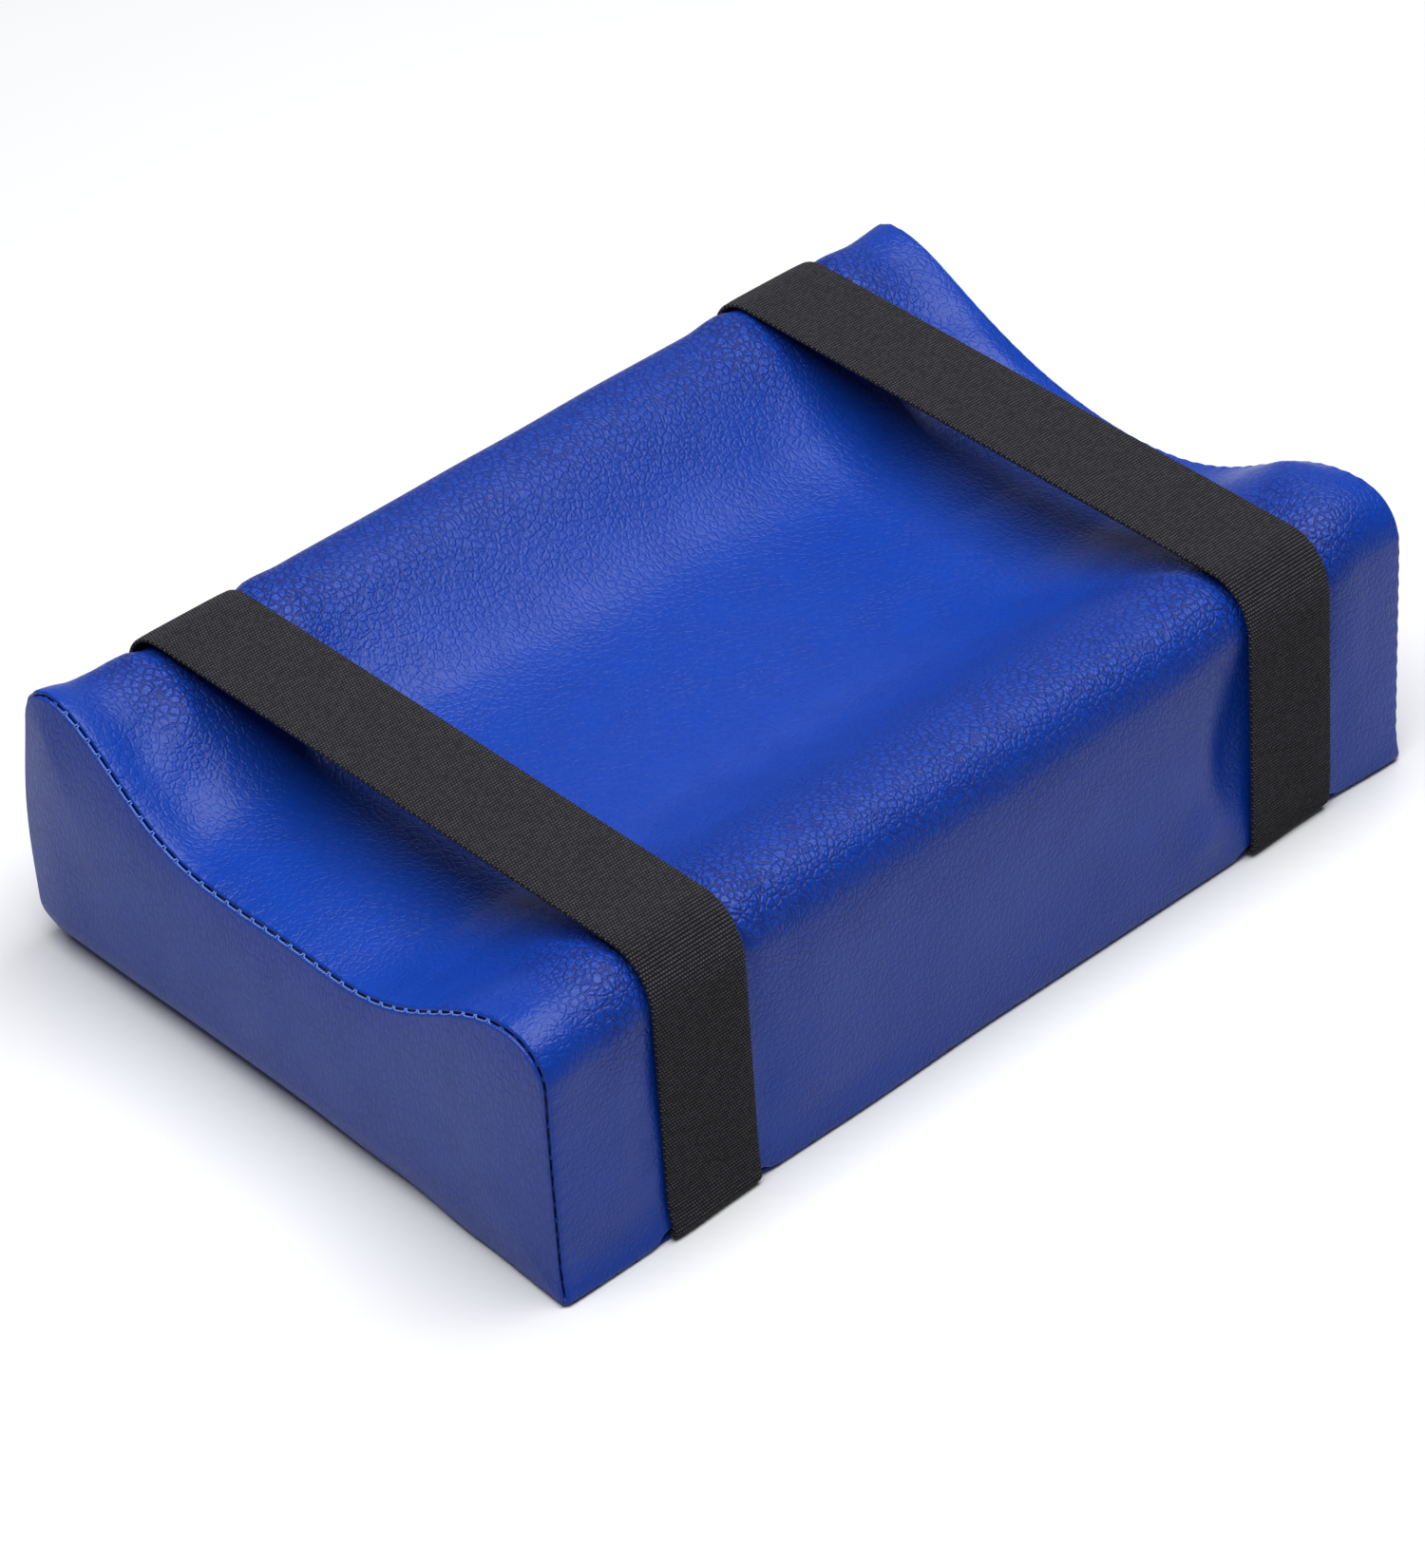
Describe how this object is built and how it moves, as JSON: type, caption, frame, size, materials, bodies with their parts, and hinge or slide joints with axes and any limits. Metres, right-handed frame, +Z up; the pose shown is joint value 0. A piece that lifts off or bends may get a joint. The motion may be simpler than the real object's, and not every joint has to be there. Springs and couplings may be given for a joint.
{
  "type": "wrist rest",
  "caption": "Foam wrist and forearm rest in a sewn leatherette cover, with a shallow trough between two ridges and elastic straps across it.",
  "frame": {"origin": "centre of the underside of the base panel", "axes": "+X along the length, +Y towards the rear ridge, +Z up; the front ridge is on -Y and the left end on -X"},
  "size_m": [0.3, 0.1954, 0.0803],
  "materials": {
    "foam": "matte open-cell foam",
    "cover_leatherette": "satin pebble-grain leatherette",
    "end_leatherette": "satin fine-grain leatherette",
    "base_leatherette": "satin leatherette",
    "webbing": "matte ribbed elastic webbing",
    "thread": "satin sewing thread"
  },
  "bodies": {
    "pad": {"foam_core": "foam", "cover_wrap": "cover_leatherette", "left_end_panel": "end_leatherette", "right_end_panel": "end_leatherette", "base_panel": "base_leatherette", "left_strap_front_leg": "webbing", "left_strap_rear_leg": "webbing", "right_strap_front_leg": "webbing", "right_strap_rear_leg": "webbing", "left_end_thread": "thread", "right_end_thread": "thread", "base_thread": "thread"},
    "left_span": {"left_strap_span": "webbing"},
    "right_span": {"right_strap_span": "webbing"}
  },
  "joints": [
    {"name": "left_strap_lift", "type": "slide", "parent": "pad", "child": "left_span", "axis": [0, 0, 1], "range_m": [0, 0.03], "stiffness_N_per_m": 150},
    {"name": "right_strap_lift", "type": "slide", "parent": "pad", "child": "right_span", "axis": [0, 0, 1], "range_m": [0, 0.03], "stiffness_N_per_m": 150}
  ]
}
